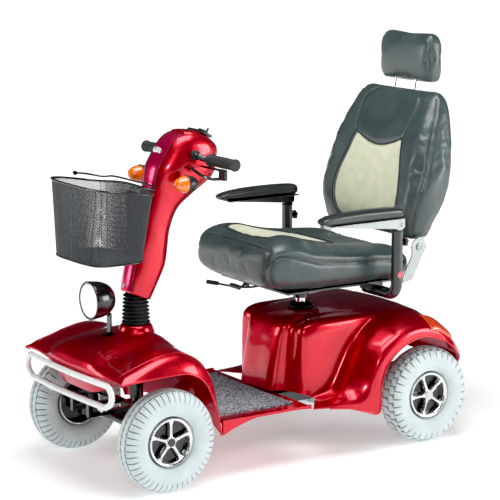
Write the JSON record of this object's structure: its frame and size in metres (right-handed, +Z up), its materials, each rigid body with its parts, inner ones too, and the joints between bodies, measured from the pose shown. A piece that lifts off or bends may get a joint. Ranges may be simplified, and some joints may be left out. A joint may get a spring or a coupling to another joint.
{
  "type": "mobility scooter",
  "caption": "Four-wheel mobility scooter with a tilting tiller, wire basket, round headlight and a swivelling captain seat with armrests and headrest.",
  "frame": {"origin": "on the ground, midway between the axles, on the centre line", "axes": "+X forward, +Y to the left, +Z up"},
  "size_m": [1.4402, 0.6794, 1.369],
  "materials": {
    "tyre": "matte",
    "wheel_metal": "satin",
    "dark_steel": "satin black paint",
    "zinc_steel": "zinc plated",
    "red_paint": "candy red gloss",
    "black_rubber": "matte",
    "mat_rubber": "speckled, matte",
    "white_paint": "silver-white gloss",
    "black_plastic": "matte",
    "clear_lens": "clear",
    "amber_lens": "amber",
    "red_lens": "orange-red",
    "grey_case": "matte",
    "chrome": "polished",
    "basket_mesh": "dark grey coated wire mesh",
    "vinyl": "dark slate vinyl with pale inserts",
    "key_metal": "satin",
    "dial_red": "red",
    "button_yellow": "yellow"
  },
  "bodies": {
    "chassis": {"main_frame": "dark_steel", "front_cowl": "red_paint", "floor_deck": "red_paint", "floor_mat": "mat_rubber", "rear_body": "red_paint", "bumper_bar": "white_paint", "headlight_housing": "black_plastic", "headlight_lens": "clear_lens", "tail_lamps": "red_lens", "post_grommet": "black_rubber", "battery_pack": "grey_case", "transaxle": "grey_case"},
    "steering": {"steering_stem": "zinc_steel", "steering_boot": "black_rubber"},
    "tiller": {"tiller_column": "zinc_steel", "tiller_cover": "red_paint", "tiller_front_panel": "red_paint", "dash_panel": "black_plastic", "handlebar": "dark_steel", "grips": "black_rubber", "indicator_stems": "black_plastic", "indicator_lenses": "amber_lens", "basket_bracket": "dark_steel", "basket": "basket_mesh"},
    "basket_bail": {"basket_handle": "black_plastic"},
    "throttle": {"throttle_lever": "black_plastic"},
    "hand_brake": {"brake_lever": "black_plastic"},
    "ignition_key": {"key_switch": "key_metal"},
    "speed_knob": {"speed_dial": "dial_red"},
    "horn": {"horn_button": "button_yellow"},
    "post": {"seat_post": "chrome"},
    "swivel": {"seat_swivel": "dark_steel"},
    "swivel_handle": {"swivel_lever": "black_plastic"},
    "slide_handle": {"slide_lever": "black_plastic"},
    "seat": {"seat_pan": "dark_steel", "seat_cushion": "vinyl", "recliner_plates": "zinc_steel"},
    "back": {"backrest": "vinyl"},
    "head": {"headrest": "vinyl"},
    "recline_handle": {"recline_lever": "black_plastic"},
    "wheel_front_left": {"tyre_front_left": "tyre", "rim_front_left": "wheel_metal"},
    "wheel_rear_left": {"tyre_rear_left": "tyre", "rim_rear_left": "wheel_metal", "shaft_rear_left": "zinc_steel"},
    "hub_carrier_left": {"knuckle_left": "dark_steel"},
    "track_rod_left": {"tie_rod_left": "zinc_steel"},
    "arm_support_left": {"arm_post_left": "dark_steel"},
    "arm_left": {"armrest_left": "vinyl"},
    "clamp_knob_left": {"arm_knob_left": "black_plastic"},
    "wheel_front_right": {"tyre_front_right": "tyre", "rim_front_right": "wheel_metal"},
    "wheel_rear_right": {"tyre_rear_right": "tyre", "rim_rear_right": "wheel_metal", "shaft_rear_right": "zinc_steel"},
    "hub_carrier_right": {"knuckle_right": "dark_steel"},
    "track_rod_right": {"tie_rod_right": "zinc_steel"},
    "arm_support_right": {"arm_post_right": "dark_steel"},
    "arm_right": {"armrest_right": "vinyl"},
    "clamp_knob_right": {"arm_knob_right": "black_plastic"}
  },
  "joints": [
    {"name": "steer", "type": "hinge", "parent": "chassis", "child": "steering", "pos_m": [0.445, 0, 0.3], "axis": [0, 0, 1], "range_deg": [-30, 30]},
    {"name": "tiller_tilt", "type": "hinge", "parent": "steering", "child": "tiller", "pos_m": [0.445, 0, 0.5], "axis": [0, 1, 0], "range_deg": [-12, 12], "deforming": ["steering_boot"]},
    {"name": "kingpin_left", "type": "hinge", "parent": "chassis", "child": "hub_carrier_left", "pos_m": [0.513, 0.225, 0.165], "axis": [0, 0, 1], "range_deg": [-30, 30]},
    {"name": "track_rod_turn_left", "type": "hinge", "parent": "steering", "child": "track_rod_left", "pos_m": [0.385, 0, 0.126], "axis": [0, 0, 1], "range_deg": [-30, 30]},
    {"name": "front_wheel_spin_left", "type": "hinge", "parent": "hub_carrier_left", "child": "wheel_front_left", "pos_m": [0.513, 0.2927, 0.165], "axis": [0, 1, 0], "continuous": true},
    {"name": "rear_wheel_spin_left", "type": "hinge", "parent": "chassis", "child": "wheel_rear_left", "pos_m": [-0.513, 0.2927, 0.165], "axis": [0, 1, 0], "continuous": true},
    {"name": "arm_height_left", "type": "slide", "parent": "seat", "child": "arm_support_left", "axis": [0, 0, 1], "range_m": [0, 0.05]},
    {"name": "arm_flip_left", "type": "hinge", "parent": "arm_support_left", "child": "arm_left", "pos_m": [-0.385, 0.318, 0.765], "axis": [0, -1, 0], "range_deg": [0, 85]},
    {"name": "clamp_knob_turn_left", "type": "hinge", "parent": "seat", "child": "clamp_knob_left", "pos_m": [-0.4, 0.318, 0.706], "axis": [-1, 0, 0], "continuous": true},
    {"name": "kingpin_right", "type": "hinge", "parent": "chassis", "child": "hub_carrier_right", "pos_m": [0.513, -0.225, 0.165], "axis": [0, 0, 1], "range_deg": [-30, 30]},
    {"name": "track_rod_turn_right", "type": "hinge", "parent": "steering", "child": "track_rod_right", "pos_m": [0.385, 0, 0.115], "axis": [0, 0, 1], "range_deg": [-30, 30]},
    {"name": "front_wheel_spin_right", "type": "hinge", "parent": "hub_carrier_right", "child": "wheel_front_right", "pos_m": [0.513, -0.2927, 0.165], "axis": [0, 1, 0], "continuous": true},
    {"name": "rear_wheel_spin_right", "type": "hinge", "parent": "chassis", "child": "wheel_rear_right", "pos_m": [-0.513, -0.2927, 0.165], "axis": [0, 1, 0], "continuous": true},
    {"name": "arm_height_right", "type": "slide", "parent": "seat", "child": "arm_support_right", "axis": [0, 0, 1], "range_m": [0, 0.05]},
    {"name": "arm_flip_right", "type": "hinge", "parent": "arm_support_right", "child": "arm_right", "pos_m": [-0.385, -0.318, 0.765], "axis": [0, -1, 0], "range_deg": [0, 85]},
    {"name": "clamp_knob_turn_right", "type": "hinge", "parent": "seat", "child": "clamp_knob_right", "pos_m": [-0.4, -0.318, 0.706], "axis": [-1, 0, 0], "continuous": true},
    {"name": "bail_swing", "type": "hinge", "parent": "tiller", "child": "basket_bail", "pos_m": [0.556, 0, 0.953], "axis": [0, 1, 0], "range_deg": [0, 100]},
    {"name": "throttle_push", "type": "hinge", "parent": "tiller", "child": "throttle", "pos_m": [0.234, 0, 0.98], "axis": [0, 1, 0], "range_deg": [-15, 15], "stiffness_Nm_per_rad": 0.4},
    {"name": "brake_squeeze", "type": "hinge", "parent": "tiller", "child": "hand_brake", "pos_m": [0.292, 0.098, 0.981], "axis": [1, 0, 0], "range_deg": [0, 9], "stiffness_Nm_per_rad": 0.8},
    {"name": "key_turn", "type": "hinge", "parent": "tiller", "child": "ignition_key", "pos_m": [0.19265, 0.03, 1.07628], "axis": [-0.454, 0, 0.891], "range_deg": [0, 90]},
    {"name": "speed_turn", "type": "hinge", "parent": "tiller", "child": "speed_knob", "pos_m": [0.19265, 0, 1.07628], "axis": [-0.454, 0, 0.891], "range_deg": [-140, 140]},
    {"name": "horn_push", "type": "slide", "parent": "tiller", "child": "horn", "axis": [0.454, 0, -0.891], "range_m": [0, 0.002], "stiffness_N_per_m": 400},
    {"name": "post_height", "type": "slide", "parent": "chassis", "child": "post", "axis": [0, 0, 1], "range_m": [0, 0.07]},
    {"name": "seat_swivel_turn", "type": "hinge", "parent": "post", "child": "swivel", "pos_m": [-0.208, 0, 0.5], "axis": [0, 0, 1], "range_deg": [-90, 90]},
    {"name": "seat_fore_aft", "type": "slide", "parent": "swivel", "child": "seat", "axis": [1, 0, 0], "range_m": [-0.04, 0.06]},
    {"name": "swivel_handle_lift", "type": "hinge", "parent": "swivel", "child": "swivel_handle", "pos_m": [-0.124, -0.096, 0.52], "axis": [0, 1, 0], "range_deg": [-4, 0], "stiffness_Nm_per_rad": 2, "springref_deg": 2.86},
    {"name": "slide_handle_lift", "type": "hinge", "parent": "seat", "child": "slide_handle", "pos_m": [-0.03, -0.07, 0.536], "axis": [0, 1, 0], "range_deg": [-9, 0], "stiffness_Nm_per_rad": 1, "springref_deg": 2.86},
    {"name": "recline", "type": "hinge", "parent": "seat", "child": "back", "pos_m": [-0.507, 0, 0.669], "axis": [0, 1, 0], "range_deg": [-35, 15]},
    {"name": "headrest_lift", "type": "slide", "parent": "back", "child": "head", "axis": [-0.17, 0, 0.9854], "range_m": [0, 0.06]},
    {"name": "recline_handle_lift", "type": "hinge", "parent": "seat", "child": "recline_handle", "pos_m": [-0.507, -0.276, 0.669], "axis": [0, 1, 0], "range_deg": [-20, 0], "stiffness_Nm_per_rad": 2, "springref_deg": 2.86}
  ],
  "couplings": [
    {"joint": "kingpin_left", "follows": "steer", "ratio": 1},
    {"joint": "kingpin_right", "follows": "steer", "ratio": 1},
    {"joint": "track_rod_turn_left", "follows": "steer", "ratio": -1},
    {"joint": "track_rod_turn_right", "follows": "steer", "ratio": -1}
  ]
}
